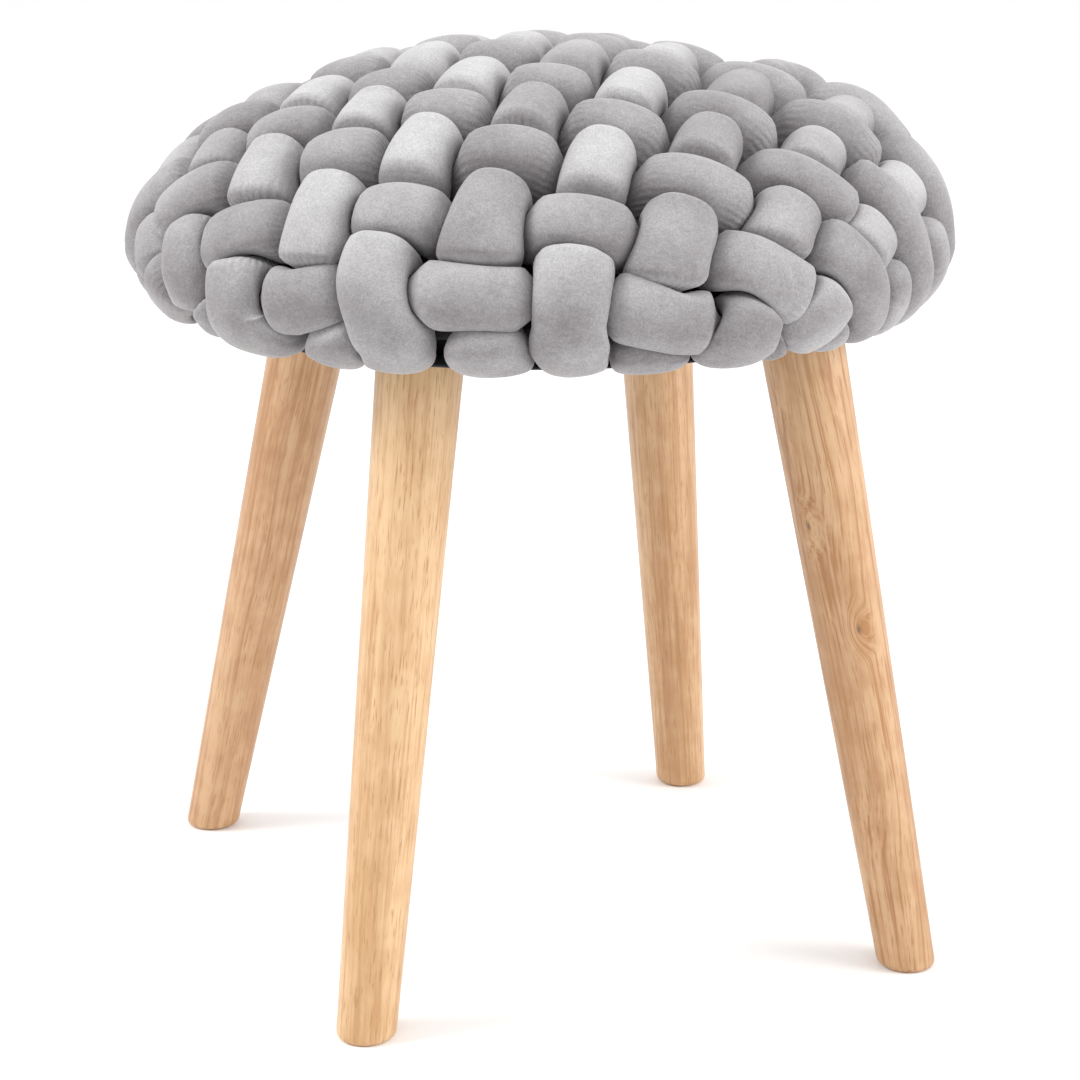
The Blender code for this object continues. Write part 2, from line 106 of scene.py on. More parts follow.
ACROSS_TUBES = (
    # name, offset in y, skew, bow, how much painted top light its nap gives, how far it waves,
    # half its width
    ("across_01", -208.0, 4.0, 57.0, 0.5, 0.1, 17.0),
    ("across_02", -173.0, 6.0, 45.0, 0.25, 0.18, 15.5),
    ("across_03", -134.0, 7.0, 33.0, 0.1, 0.25, 14.2),
    ("across_04", -101.0, 8.0, 23.0, 0.1, 0.25, 14.2),
    ("across_05", -65.0, 11.0, 14.0, 0.0, 0.25, 14.2),
    ("across_06", -16.0, 6.0, 8.0, 0.2, 0.25, 14.2),
    ("across_07", 22.0, 5.0, 4.0, 0.25, 0.25, 14.2),
    ("across_08", 60.0, 0.0, -2.0, 0.3, 0.25, 14.2),
    ("across_09", 98.0, 0.0, -10.0, 0.3, 0.25, 14.2),
    ("across_10", 136.0, 0.0, -24.0, 0.3, 0.25, 14.2),
    ("across_11", 173.0, 0.0, -40.0, 0.3, 0.18, 15.5),
    ("across_12", 208.0, 0.0, -57.0, 0.3, 0.1, 17.0),
)

# ---- Padding, fuller or slimmer than the part's where the photo shows it ---------------------
FULLNESS = (
    # bearing in degrees from +X, added part of the tubes' depth on the shoulder, and under it
    (-180.0, -0.08, -0.4),
    (-165.0, 0.1, -0.3),
    (-150.0, 0.06, -0.16),
    (-110.0, 0.02, 0.0),
    (-60.0, -0.02, -0.03),
    (-15.0, 0.04, -0.03),
    (35.0, 0.24, 0.0),
    (60.0, 0.08, 0.0),
    (90.0, 0.18, 0.0),
    (105.0, 0.22, -0.05),
    (120.0, -0.2, -0.15),
    (138.0, -0.46, -0.2),
    (165.0, -0.46, -0.3),
    (180.0, -0.08, -0.4),
)
TILT = 0.09  # part of the depth that is added behind the middle and taken away before it
TILT_SPAN = 200.0  # distance from the middle at which all of it is added
SHOULDER_START = 90.0  # distances walked between which the shoulder's fullness comes in
SHOULDER_FULL = 175.0
UNDER_START = 238.0  # and between which the fullness under it takes over
UNDER_FULL = 268.0

# ---- Shape of the tubes ----------------------------------------------------------------------
GRID_REACH = 320.0
GRID = np.arange(-GRID_REACH, GRID_REACH + 1.0)  # distances along a run, 1 mm apart
CROSSING_ROUNDS = 14
CORNER_STOP = 6.0  # tubes that would cross too far out end this far before it
PITCH_PART = 1.1  # a tube is at most this part of the distance to its neighbours
WIDTH_LEVEL = 0.7  # the level at which a tube has its half width
WIDEST_ON_PLAN = 34.0
NARROWEST_SCALE = 0.4  # least real millimetres that a millimetre across the plan stands for
MIDDLE_LEVEL = 0.485
WAVE_PART = 0.62  # part of the waves in the tables that the middle lines follow
RIM_FLATTER = 0.4  # part of its wave that a tube turns into depth at the rim
SQUARENESS = 2.4  # of a tube's section, where 2 is an ellipse
LONGER_ON_TOP = 0.08  # a tube stays on top for longer than under
LONGER_AT_RIM = 0.6  # more so where it bends over the rim
WIDER_AT_RIM = 0.06
WIDER_BELOW = 0.3
RIM_START = 160.0
RIM_FULL = 200.0
BELOW_START = 240.0
BELOW_FULL = 265.0
FLAT_ALONG = 0.8  # how square the tubes' waves are, from 0 for a plain wave to 1
FLAT_ACROSS = 0.2
HALF_DEPTH = 0.35
LONE_HALF_DEPTH = 0.41
ALONE_AFTER = 0.9  # part of the pitch past the last crossing at which a tube fills the depth
FILL_AT_RIM = 0.86  # part of the pitch that a tube fills where it bends over the rim
PINCH_ALONG = 0.03  # part by which a tube is wider on top and slimmer under
PINCH_ACROSS = 0.06
PINCH_BETWEEN = 0.5  # part of the pinch by which a tube is slimmer between two crossings
STEEP_PART = 0.75  # part of a slope's stretch by which a tube is deeper there
STEEPEST = 1.5  # the largest stretch that counts
GATHER_AT = 0.1  # gathers lie where the tube is about half way down
GATHER_REACH = 0.75
GATHER_RARE = 0.55  # part of the dives that have none
# Numbers that mix up the dives and the tubes, so that the gathers lie at uneven places.
MIX_DIVES = 12.99
MIX_TUBES = 7.3
MIX_BOTH = 43.7

# ---- Growth of the tubes ---------------------------------------------------------------------
RINGS = 210
SIDES = 64
TOP_STRENGTH = 0.3  # how much a tube wins against the tube that it passes over
ROUNDING = 0.3  # part of a tube's reach over which the edges of its creases are rounded
PRESSED_GAP = 0.02  # part of their reach that stays free between pressed tubes
TIP_LENGTH = 9.0
TIP_LEAST = 0.0025  # the square of a tip's reach at its very end
END_SLOPE = 12.0  # distance past a tube's end that counts as much as its whole reach
NEVER_PRESSED = -9.0
# Parts of a tube's free reach: the least, the first one tried, and the largest.
LEAST_REACH = 0.05
FIRST_REACH = 0.25
LARGEST_REACH = 1.02
REACH_STEPS = 8
REACH_HALVINGS = 8

# ---- Seat, cloth and legs --------------------------------------------------------------------
ROUND_SIDES = 128
SEAT_EDGE = (
    # r, z, from the seat's underside to its step
    (145.0, 312.9),
    (146.5, 316.0),
    (147.5, 319.5),
)
SEAT_INSET = 1.2  # the seat lies this far inside and below the table of sections
SEAT_LAST_RING = 4.0
SEAT_RINGS = 90
CLOTH_MIDDLE = 2.0
CLOTH_FLAT_RADIUS = 160.0
CLOTH_RINGS = 40
CLOTH_BOTTOM = 310.6
CLOTH_RIPPLE = 0.25
CLOTH_RIPPLE_RADIUS = 9.0
CLOTH_EDGE = (
    # r, z, round the cloth's edge and back over its top
    (163.4, 310.7),
    (164.3, 311.1),
    (164.5, 311.6),
    (164.2, 312.1),
    (163.0, 312.4),
    (40.0, 312.4),
    (CLOTH_MIDDLE, 312.4),
)
LEG_SIDES = 72
FOOT_ROUNDING = 3.6
FOOT_HEIGHTS = (0.0, 0.15, 0.5, 1.0, 1.7, 2.6, FOOT_ROUNDING)
SHAFT_START = 8.0
SHAFT_RINGS = 60


# ---- The wrap from the plan to the seat ------------------------------------------------------
def smooth_step(x):
    """0 below 0, 1 above 1, and a smooth rise between."""
    x = np.clip(x, 0.0, 1.0)
    return x * x * (3.0 - 2.0 * x)


def hermite(x, xs, ys):
    """Smooth interpolation through a table, with slopes taken from the neighbouring rows."""
    slopes = np.gradient(ys, xs)
    k = np.clip(np.searchsorted(xs, x) - 1, 0, len(xs) - 2)
    width = xs[k + 1] - xs[k]
    t = (x - xs[k]) / width
    return (
        (1 + 2 * t) * (1 - t) ** 2 * ys[k]
        + t * (1 - t) ** 2 * width * slopes[k]
        + t**2 * (3 - 2 * t) * ys[k + 1]
        + t**2 * (t - 1) * width * slopes[k + 1]
    )


SECTION_TABLE = np.array(SECTIONS)
WALKED = np.concatenate(([0.0], np.cumsum(np.hypot(*np.diff(SECTION_TABLE[:, :2], axis=0).T))))


def section(walked):
    """Crest radius and height, seat radius and height, at a distance from the middle."""
    walked = np.clip(walked, 0.0, WALKED[-1])
    return [hermite(walked, WALKED, column) for column in SECTION_TABLE.T]


def fullness(plan, walked):
    """How much deeper the tubes lie than the table of sections says."""
    bearings, *columns = np.array(FULLNESS).T
    bearing = np.degrees(np.arctan2(plan[..., 1], plan[..., 0]))
    k = np.clip(np.searchsorted(bearings, bearing) - 1, 0, len(bearings) - 2)
    between = smooth_step((bearing - bearings[k]) / (bearings[k + 1] - bearings[k]))
    over, under = [part[k] + (part[k + 1] - part[k]) * between for part in columns]
    shoulder = smooth_step((walked - SHOULDER_START) / (SHOULDER_FULL - SHOULDER_START))
    below = smooth_step((walked - UNDER_START) / (UNDER_FULL - UNDER_START))
    tilt = TILT * np.clip(plan[..., 1] / TILT_SPAN, -1.0, 1.0) * (1.0 - below)
    return over * shoulder + (under - over) * below + tilt


def spread(walked):
    """How much wider the plan is than the seat seen from above, at a distance walked."""
    return np.maximum(walked, EPSILON) / np.maximum(section(walked)[0], EPSILON)


def depth(plan):
    """Millimetres between the seat's surface and the crest."""
    crest_r, crest_z, seat_r, seat_z = section(np.hypot(plan[..., 0], plan[..., 1]))
    return np.hypot(crest_r - seat_r, crest_z - seat_z)


def place(plan, level):
    """Points in space for plan points at levels from 0 (seat) to 1 (crest)."""
    walked = np.hypot(plan[..., 0], plan[..., 1])
    crest_r, crest_z, seat_r, seat_z = section(walked)
    level = level * (1.0 + fullness(plan, walked))
    radius = seat_r + (crest_r - seat_r) * level
    height = seat_z + (crest_z - seat_z) * level
    bearing = plan / np.maximum(walked, EPSILON)[..., None]
    return np.concatenate((bearing * radius[..., None], height[..., None]), axis=-1)


# ---- Routes of the tubes ---------------------------------------------------------------------
class Tube:
    """A tube's route over the plan, sampled on GRID."""

    def __init__(self, name, offset, skew, bow, light, wave, half, runs_along):
        self.name = name
        self.light = light
        self.wave = wave * WAVE_PART
        self.half = half
        self.runs_along = runs_along
        t = GRID / CURVE_SPAN
        from_above = offset + skew * t + bow * t**2
        if runs_along:
            pulled = PULL * smooth_step((-GRID - PULL_START) / (PULL_FULL - PULL_START))
            from_above = from_above + pulled * (PULL_TOWARDS - from_above)
        self.route = from_above * spread(np.hypot(from_above, GRID))
        self.slope = np.gradient(self.route, GRID)
        self.lean = 1.0 / np.hypot(1.0, self.slope)
        walked = np.hypot(self.route, GRID)
        outwards = GRID**2 / np.maximum(walked, EPSILON) ** 2
        self.rim = outwards * smooth_step((walked - RIM_START) / (RIM_FULL - RIM_START))
        self.below = smooth_step((walked - BELOW_START) / (BELOW_FULL - BELOW_START))

    def at(self, values, run):
        """One of the tube's sampled values, at distances along its run."""
        return np.interp(run, GRID, values)

    def plan(self, run):
        """Plan points of the tube's middle line."""
        side = self.at(self.route, run)
        return np.stack((side, run) if self.runs_along else (run, side), axis=-1)

    def ways(self, run):
        """Directions forwards and sideways on the plan."""
        slope = self.at(self.slope, run)
        one = np.ones_like(slope)
        forward = np.stack((slope, one) if self.runs_along else (one, slope), axis=-1)
        forward /= np.hypot(*forward.T)[:, None]
        return forward, np.stack((forward[:, 1], -forward[:, 0]), axis=-1)

    def plan_per_mm(self):
        """Plan distance across the tube for each real millimetre."""
        here = self.plan(GRID)
        forward, side = self.ways(GRID)
        level = np.full(len(GRID), WIDTH_LEVEL)
        across = (place(here + side, level) - place(here - side, level)) / 2.0
        ahead = place(here + forward, level) - place(here - forward, level)
        length = np.maximum(np.linalg.norm(ahead, axis=1), EPSILON)
        real = np.linalg.norm(np.cross(across, ahead), axis=1) / length
        return 1.0 / np.maximum(real, NARROWEST_SCALE)

    def strength(self, run):
        """How much the tube wins against another that it meets."""
        return 1.0 + TOP_STRENGTH * self.at(self.swing, run)


def crossing_run(tube, other):
    """The run at which another tube crosses this one."""
    here = other.route[len(GRID) // 2]
    for _ in range(CROSSING_ROUNDS):
        here = float(other.at(other.route, tube.at(tube.route, here)))
    return here


def set_ends(tube):
    """Where the tube is tucked in, or stops short of a tube that it would meet there."""
    points = tube.plan(tube.runs)
    far = np.hypot(points[:, 0], points[:, 1]) >= LAST_CROSSING_RADIUS
    inside = GRID[np.hypot(*tube.plan(GRID).T) < TUCK_RADIUS_ON_PLAN]
    stops = tube.runs[far]
    tube.low = max([inside[0], *(stops[stops < 0.0] + CORNER_STOP)])
    tube.high = min([inside[-1], *(stops[stops > 0.0] - CORNER_STOP)])
    tube.met = tube.runs[~far]


def gathers(tube, phase, wave):
    """How strongly the velvet gathers where the tube dives, more at some dives than at others."""
    dives = np.floor(phase)
    mixed = np.sin(dives * MIX_DIVES + tube.half * MIX_TUBES + tube.route[0])
    chosen = np.modf(np.abs(mixed * MIX_BOTH))[0]
    return np.clip(1.0 - np.abs(wave - GATHER_AT) / GATHER_REACH, 0.0, 1.0) * (chosen > GATHER_RARE)


def set_levels(tube, first_on_top):
    """The tube's middle level and half depth, over and under its neighbours."""
    runs = tube.runs
    pitch = np.diff(runs)
    phase = np.interp(GRID, runs, np.arange(len(runs)))
    before, after = GRID < runs[0], GRID > runs[-1]
    phase[before] = (GRID[before] - runs[0]) / pitch[0]
    phase[after] = len(runs) - 1 + (GRID[after] - runs[-1]) / pitch[-1]
    met_phase = np.clip(phase, *np.interp(tube.met[[0, -1]], GRID, phase))
    wave = np.cos(np.pi * met_phase) * (1.0 if first_on_top else -1.0)
    longer = LONGER_ON_TOP * tube.runs_along + LONGER_AT_RIM * tube.rim
    wave += longer * (1.0 - wave**2)
    flat = FLAT_ALONG if tube.runs_along else FLAT_ACROSS
    flat = flat + (1.0 - flat) * tube.rim
    swing = (1.0 - flat) * wave + flat * np.sin(np.pi / 2 * wave)
    past_start = (tube.met[0] - GRID) / pitch.mean()
    past_end = (GRID - tube.met[-1]) / pitch.mean()
    tube.alone = smooth_step(past_start / ALONE_AFTER) + smooth_step(past_end / ALONE_AFTER)
    tube.swing = swing * (1.0 - tube.alone)
    tube.gather = gathers(tube, met_phase, wave) * (1.0 - tube.alone)
    flatter = RIM_FLATTER * tube.rim
    tube.level = MIDDLE_LEVEL + tube.wave * (1.0 - flatter) * tube.swing
    rise = np.gradient(tube.level, GRID) * depth(tube.plan(GRID)) * tube.lean
    steep = np.minimum(np.hypot(1.0, rise), STEEPEST)
    half = HALF_DEPTH + tube.wave * flatter
    half = half + (LONE_HALF_DEPTH - half) * tube.alone
    tube.half_depth = half * (1.0 + (steep - 1.0) * STEEP_PART)


def set_width(tube, neighbours):
    """The tube's free half width on the plan."""
    gaps = [np.abs(other.route - tube.route) * tube.lean for other in neighbours]
    pinch = PINCH_ALONG if tube.runs_along else PINCH_ACROSS
    free = tube.half * (1.0 + WIDER_AT_RIM * tube.rim + WIDER_BELOW * tube.below)
    reach_out = np.mean(gaps, axis=0) / 2.0
    width = free * tube.plan_per_mm()
    width += tube.rim * np.maximum(reach_out * FILL_AT_RIM - width, 0.0)
    width = np.minimum(width, reach_out * PITCH_PART)
    between = (1.0 - np.abs(tube.swing)) * (1.0 - tube.alone)
    width *= 1.0 + pinch * (tube.swing - PINCH_BETWEEN * between)
    tube.half_width = np.minimum(width, WIDEST_ON_PLAN)


def weave():
    """Every tube, ready to grow."""
    along = [Tube(*row, True) for row in ALONG_TUBES]
    across = [Tube(*row, False) for row in ACROSS_TUBES]
    for family, others in ((along, across), (across, along)):
        for k, tube in enumerate(family):
            tube.runs = np.array([crossing_run(tube, other) for other in others])
            set_ends(tube)
            set_levels(tube, (k % 2 == 0) == tube.runs_along)
            set_width(tube, [family[n] for n in (k - 1, k + 1) if 0 <= n < len(family)])
    return along + across


# ---- Growing the tubes -----------------------------------------------------------------------
def round_off(x, z):
    """How far a point lies from the middle of a tube's section, where 1 is its free surface."""
    return (np.abs(x) ** SQUARENESS + np.abs(z) ** SQUARENESS) ** (1.0 / SQUARENESS)


def reach_in_tube(tube, plan, level):
    """How far points lie from a tube's middle line, where 1 is its free surface, and how much
    the tube wins against another there."""
    along, across = plan[..., 1], plan[..., 0]
    run, side = (along, across) if tube.runs_along else (across, along)
    x = (side - tube.at(tube.route, run)) * tube.at(tube.lean, run)
    x /= tube.at(tube.half_width, run)
    z = (level - tube.at(tube.level, run)) / tube.at(tube.half_depth, run)
    past_end = np.maximum(np.maximum(tube.low - run, run - tube.high), 0.0)
    return round_off(x, z) + past_end / END_SLOPE, tube.strength(run)


def grow(tube, tubes):
    """The rings of a tube that has grown until its neighbours stop it."""
    runs = np.linspace(tube.low, tube.high, RINGS)
    angles = ring_angles(SIDES)
    out, up = np.cos(angles), np.sin(angles)
    out, up = out / round_off(out, up), up / round_off(out, up)
    middle, side = tube.plan(runs)[:, None], tube.ways(runs)[1][:, None]
    width = tube.at(tube.half_width, runs)[:, None]
    half_depth = tube.at(tube.half_depth, runs)[:, None]
    level = tube.at(tube.level, runs)[:, None]
    strength = tube.strength(runs)[:, None]
    others = [other for other in tubes if other is not tube]

    def points(reach):
        """Plan points and levels of a ring's points at a part of their free reach."""
        plan = middle + (reach * out * width)[..., None] * side
        return plan, level + reach * up * half_depth

    def pressed(reach):
        """Above 1 where the tube would be too large, with the creases' edges rounded."""
        plan, levels = points(reach)
        worst = np.full(reach.shape, NEVER_PRESSED)
        for other in others:
            theirs, their_strength = reach_in_tube(other, plan, levels)
            squeeze = 1.0 + reach - theirs * strength / their_strength + PRESSED_GAP
            worst = np.maximum(worst, squeeze)
        near = np.maximum(ROUNDING - np.abs(reach - worst), 0.0) / ROUNDING
        return np.maximum(reach, worst) + near**2 * ROUNDING / 4.0

    shape = (RINGS, SIDES)
    low, high = np.full(shape, LEAST_REACH), np.full(shape, LARGEST_REACH)
    found = np.zeros(shape, bool)
    for step in np.linspace(FIRST_REACH, LARGEST_REACH, REACH_STEPS):
        hit = (pressed(np.full(shape, step)) > 1.0) & ~found
        high[hit] = step
        found |= hit
        low[~found] = step
    for _ in range(REACH_HALVINGS):
        halfway = (low + high) / 2.0
        too_large = pressed(halfway) > 1.0
        high = np.where(too_large, halfway, high)
        low = np.where(too_large, low, halfway)
    from_tip = np.clip(np.minimum(runs - tube.low, tube.high - runs) / TIP_LENGTH, 0.0, 1.0)
    cap = np.sqrt(np.clip(1.0 - (1.0 - from_tip) ** 2, TIP_LEAST, 1.0))
    gathered = np.broadcast_to(tube.at(tube.gather, runs)[:, None], shape)
    sections = np.stack(np.broadcast_arrays(np.cos(angles), np.sin(angles), gathered), -1)
    return place(*points((low + high) / 2.0 * cap[:, None])), sections


# ---- Meshes ----------------------------------------------------------------------------------
def add_object(name, data):
    """A new object in the scene."""
    added = bpy.data.objects.new(name, data)
    bpy.context.scene.collection.objects.link(added)
    return added


def make_mesh(name, points, faces, material):
    """A smooth mesh object in the part's frame, from millimetre points round the seat's axis."""
    mesh = bpy.data.meshes.new(name)
    mesh.from_pydata(((points + SEAT_MIDDLE) * MM).tolist(), [], faces)
    mesh.materials.append(material)
    mesh.shade_smooth()
    return add_object(name, mesh)


def ring_angles(sides):
    """Evenly spaced angles once round."""
    return np.arange(sides) * math.tau / sides


def ring_faces(rings, sides):
    """Faces of a closed body through rings of points, with both ends filled."""
    ring = np.arange(rings - 1)[:, None] * sides
    here = np.arange(sides)[None]
    after = (here + 1) % sides
    quads = np.stack((ring + here, ring + after, ring + sides + after, ring + sides + here), -1)
    ends = [list(range(sides))[::-1], list(range((rings - 1) * sides, rings * sides))]
    return quads.reshape(-1, 4).tolist() + ends


def add_coordinates(piece, name, values):
    """Stores three numbers at each vertex for the piece's material."""
    attribute = piece.data.attributes.new(name, "FLOAT_VECTOR", "POINT")
    attribute.data.foreach_set("vector", np.asarray(values, np.float32).ravel())


def dress(piece, node):
    """The piece stands for a node of the part, on its one body."""
    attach(piece, "root")
    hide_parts(node)


# ---- Materials -------------------------------------------------------------------------------
class Shader:
    """A small helper that adds nodes to a material and links them."""

    def __init__(self, name):
        self.material = bpy.data.materials.new(name)
        self.material.use_nodes = True
        self.tree = self.material.node_tree

    def put(self, socket, value):
        """Links a socket to another, or sets its value."""
        if isinstance(value, bpy.types.NodeSocket):
            self.tree.links.new(value, socket)
        else:
            socket.default_value = value

    def node(self, kind, settings=None, **inputs):
        """A node with its settings, and its inputs set to values or linked to sockets."""
        node = self.tree.nodes.new(kind)
        for key, value in (settings or {}).items():
            setattr(node, key, value)
        for key, value in inputs.items():
            self.put(node.inputs[key], value)
        return node

    def result(self, kind, settings, *values):
        """The result of a node whose inputs in use are filled in their order."""
        node = self.node(kind, settings)
        in_use = [socket for socket in node.inputs if socket.enabled]
        for socket, value in zip(in_use, values):
            self.put(socket, value)
        return next(socket for socket in node.outputs if socket.enabled)

    def maths(self, operation, *values, clamp=False):
        """The result of a maths node."""
        settings = {"operation": operation, "use_clamp": clamp}
        return self.result("ShaderNodeMath", settings, *values)

    def vector_maths(self, operation, *values):
        """The result of a vector maths node."""
        return self.result("ShaderNodeVectorMath", {"operation": operation}, *values)

    def range(self, value, low, high, to_low, to_high):
        """A value moved smoothly from one range to another, kept inside it."""
        settings = {"interpolation_type": "SMOOTHSTEP"}
        return self.result("ShaderNodeMapRange", settings, value, low, high, to_low, to_high)

    def blend(self, factor, first, second, mode="MIX"):
        """Two colours mixed."""
        settings = {"data_type": "RGBA", "blend_type": mode}
        return self.result("ShaderNodeMix", settings, factor, first, second)

    def noise(self, vector, scale, detail, roughness):
        """Noise between 0 and 1."""
        node = self.node("ShaderNodeTexNoise", Vector=vector, Scale=scale, Detail=detail)
        self.put(node.inputs["Roughness"], roughness)
        return node.outputs["Fac"]

    def stretch(self, vector, scale):
        """Coordinates scaled differently along each axis."""
        return self.node("ShaderNodeMapping", Vector=vector, Scale=scale).outputs["Vector"]

    def bump(self, height, strength, distance):
        """A normal roughened by a height."""
        node = self.node("ShaderNodeBump", Height=height, Strength=strength, Distance=distance)
        return node.outputs["Normal"]

    def on_object(self):
        """Coordinates on the object itself."""
        return self.node("ShaderNodeTexCoord").outputs["Object"]

    def stored(self, name):
        """The three numbers stored at each vertex."""
        return self.node("ShaderNodeAttribute", {"attribute_name": name}).outputs["Vector"]

    def parts(self, vector):
        """The X, Y and Z of a vector."""
        return self.node("ShaderNodeSeparateXYZ", Vector=vector).outputs

    def finish(self, settings):
        """The material, once its surface is set or linked."""
        surface = self.tree.nodes["Principled BSDF"]
        for key, value in settings.items():
            self.put(surface.inputs[key], value)
        return self.material


def colour(r, g, b):
    """A colour that isn't see-through."""
    return (r, g, b, 1.0)


def steps(seed, lengths):
    """A move through a noise that gives each piece its own part of it."""
    return [seed * length for length in lengths]


# Velvet. Its noises: scale, detail, roughness.
VELVET_PATCHES = (17.0, 1.0, 0.5)
VELVET_CLOUDS = (60.0, 3.0, 0.6)
VELVET_BRUSHED = (330.0, 2.0, 0.6)
VELVET_PILE = (1150.0, 2.0, 0.8)
# Its tones: a range of the noise or of the upward way of a face, and the lightness that it gives.
# Painted top light: faces that look up are painted lighter.
PAINTED_TOP_LIGHT_TONES = (-0.4, 1.0, 0.0, 1.0)
# Painted bounce light: faces that look down are painted lighter, as if lit from the floor.
PAINTED_BOUNCE_TONES = (0.1, -0.6, 0.0, 0.28)
PATCH_TONES = (0.32, 0.68, -0.1, 0.1)
CLOUD_TONES = (0.3, 0.7, -0.07, 0.07)
BRUSHED_TONES = (0.3, 0.7, -0.045, 0.045)
PILE_TONES = (0.3, 0.7, 0.84, 1.13)  # the colour is multiplied by this one
VELVET_DARK = colour(0.213, 0.2, 0.207)
VELVET_LIGHT = colour(0.541, 0.535, 0.54)
VELVET_STEPS = (0.31, 0.17, 0.23)
BRUSHED_STRETCH = (1.0, 1.0, 1.6)
NAP_AND_TOP_LIGHT_LEAST = 0.3  # how much painted top light the darkest-napped tubes get
NAP_AND_TOP_LIGHT_ADDED = 0.55  # how much more the lightest-napped tubes get
PILE_HEIGHT = 0.5
GATHER_HEIGHT = 0.7
GATHER_FOLDS = 30.0  # round the whole tube
GATHER_WANDER = 9.0  # how far the clouds push the folds aside, as an angle
VELVET_BUMP = (0.4, 0.0007)  # strength, and distance in metres
VELVET_SURFACE = {
    "Roughness": 0.9,
    "Specular IOR Level": 0.15,
    "Sheen Weight": 0.3,
    "Sheen Roughness": 0.4,
    "Sheen Tint": colour(1.0, 0.98, 0.99),
}


def velvet(name, light, seed):
    """Short-pile velvet. Faces that look up are painted lighter, as painted top light, more so on
    some tubes; faces that look down are painted lighter too, as painted bounce light from below.
    """
    shader = Shader(name)
    spot = shader.vector_maths("ADD", shader.on_object(), steps(seed, VELVET_STEPS))
    facing = shader.parts(shader.node("ShaderNodeNewGeometry").outputs["Normal"])["Z"]
    patches = shader.noise(spot, *VELVET_PATCHES)
    clouds = shader.noise(spot, *VELVET_CLOUDS)
    brushed = shader.noise(shader.stretch(spot, BRUSHED_STRETCH), *VELVET_BRUSHED)
    pile = shader.noise(spot, *VELVET_PILE)
    nap_and_top_light = NAP_AND_TOP_LIGHT_LEAST + NAP_AND_TOP_LIGHT_ADDED * light
    # Painted top light on faces that look up, stronger on some tubes, then painted bounce light on
    # faces that look down.
    lit = shader.maths("MULTIPLY", shader.range(facing, *PAINTED_TOP_LIGHT_TONES), nap_and_top_light)
    lit = shader.maths("ADD", lit, shader.range(facing, *PAINTED_BOUNCE_TONES))
    lit = shader.maths("ADD", lit, shader.range(patches, *PATCH_TONES))
    lit = shader.maths("ADD", lit, shader.range(clouds, *CLOUD_TONES))
    lit = shader.maths("ADD", lit, shader.range(brushed, *BRUSHED_TONES), clamp=True)
    base = shader.blend(lit, VELVET_DARK, VELVET_LIGHT)
    speck = shader.range(pile, *PILE_TONES)
    speck = shader.node("ShaderNodeCombineColor", Red=speck, Green=speck, Blue=speck)
    base = shader.blend(1.0, base, speck.outputs[0], "MULTIPLY")
    ring = shader.parts(shader.stored("tube_section"))
    turn = shader.maths("ARCTAN2", ring["Y"], ring["X"])
    wander = shader.maths("MULTIPLY", clouds, GATHER_WANDER)
    folds = shader.maths("SINE", shader.maths("MULTIPLY_ADD", turn, GATHER_FOLDS, wander))
    folds = shader.maths("MULTIPLY", folds, ring["Z"])
    rough = shader.maths("ADD", shader.maths("MULTIPLY", pile, PILE_HEIGHT), brushed)
    rough = shader.maths("MULTIPLY_ADD", folds, GATHER_HEIGHT, rough)
    normal = shader.bump(rough, *VELVET_BUMP)
    return shader.finish({"Base Color": base, "Normal": normal, **VELVET_SURFACE})


# Black cloth. The noise of its fibres: scale, detail, roughness.
CLOTH_FIBRES = (900.0, 4.0, 0.7)
CLOTH_DARK = colour(0.008, 0.008, 0.009)
CLOTH_LIGHT = colour(0.035, 0.035, 0.038)
CLOTH_BUMP = (0.5, 0.0005)
CLOTH_SURFACE = {"Roughness": 0.95, "Sheen Weight": 0.1}


def black_cloth(name):
    """Thin black non-woven cloth."""
    shader = Shader(name)
    fibres = shader.noise(shader.on_object(), *CLOTH_FIBRES)
    base = shader.blend(fibres, CLOTH_DARK, CLOTH_LIGHT)
    normal = shader.bump(fibres, *CLOTH_BUMP)
    return shader.finish({"Base Color": base, "Normal": normal, **CLOTH_SURFACE})


# Wood. Its noises: scale across the grain and along it, detail, roughness.
WOOD_BENDS = (22.0, 9.0, 1.0, 0.5)
WOOD_BANDS = (42.0, 3.0, 3.0, 0.55)
WOOD_LINES = (400.0, 5.0, 3.0, 0.7)
WOOD_MOTTLE = (90.0, 60.0, 2.0, 0.6)
WOOD_PORES = (1150.0, 95.0, 2.0, 0.5)
# How much of the tone each of them makes, and the range of the sum.
BANDS_PART = 0.42
LINES_PART = 0.33
MOTTLE_PART = 0.25
WOOD_TONES = (0.39, 0.62, 0.0, 1.0)
# Colours of the lightest wood and of the darkest.
WOOD_PALE = (colour(0.70, 0.475, 0.268), colour(0.56, 0.345, 0.192))
WOOD_DEEP = (colour(0.55, 0.325, 0.155), colour(0.39, 0.197, 0.088))
STREAK_COLOUR = colour(0.36, 0.16, 0.055)
STREAK_START = 0.5
STREAK_FULL = 0.64
STREAK_STRENGTH = 0.8
FLECK_COLOUR = colour(0.36, 0.165, 0.058)
FLECK_TONES = (0.56, 0.70, 0.0, 0.6)
KNOT_COLOUR = colour(0.10, 0.058, 0.038)
KNOT_STRENGTH = 0.75
KNOT_STRETCH = (1.0, 1.0, 0.55)
KNOT_REACH = 5.0  # the grain swings round a knot up to this many of its sizes away
KNOT_SWING = 0.006  # in metres, as the next
BEND_SWING = 0.012
WOOD_STEPS = (0.37, 0.53, 1.7)
WOOD_BUMP = (0.12, 0.0004)
WOOD_SURFACE = {
    "Roughness": 0.42,
    "Specular IOR Level": 0.4,
    "Coat Weight": 0.15,
    "Coat Roughness": 0.3,
}
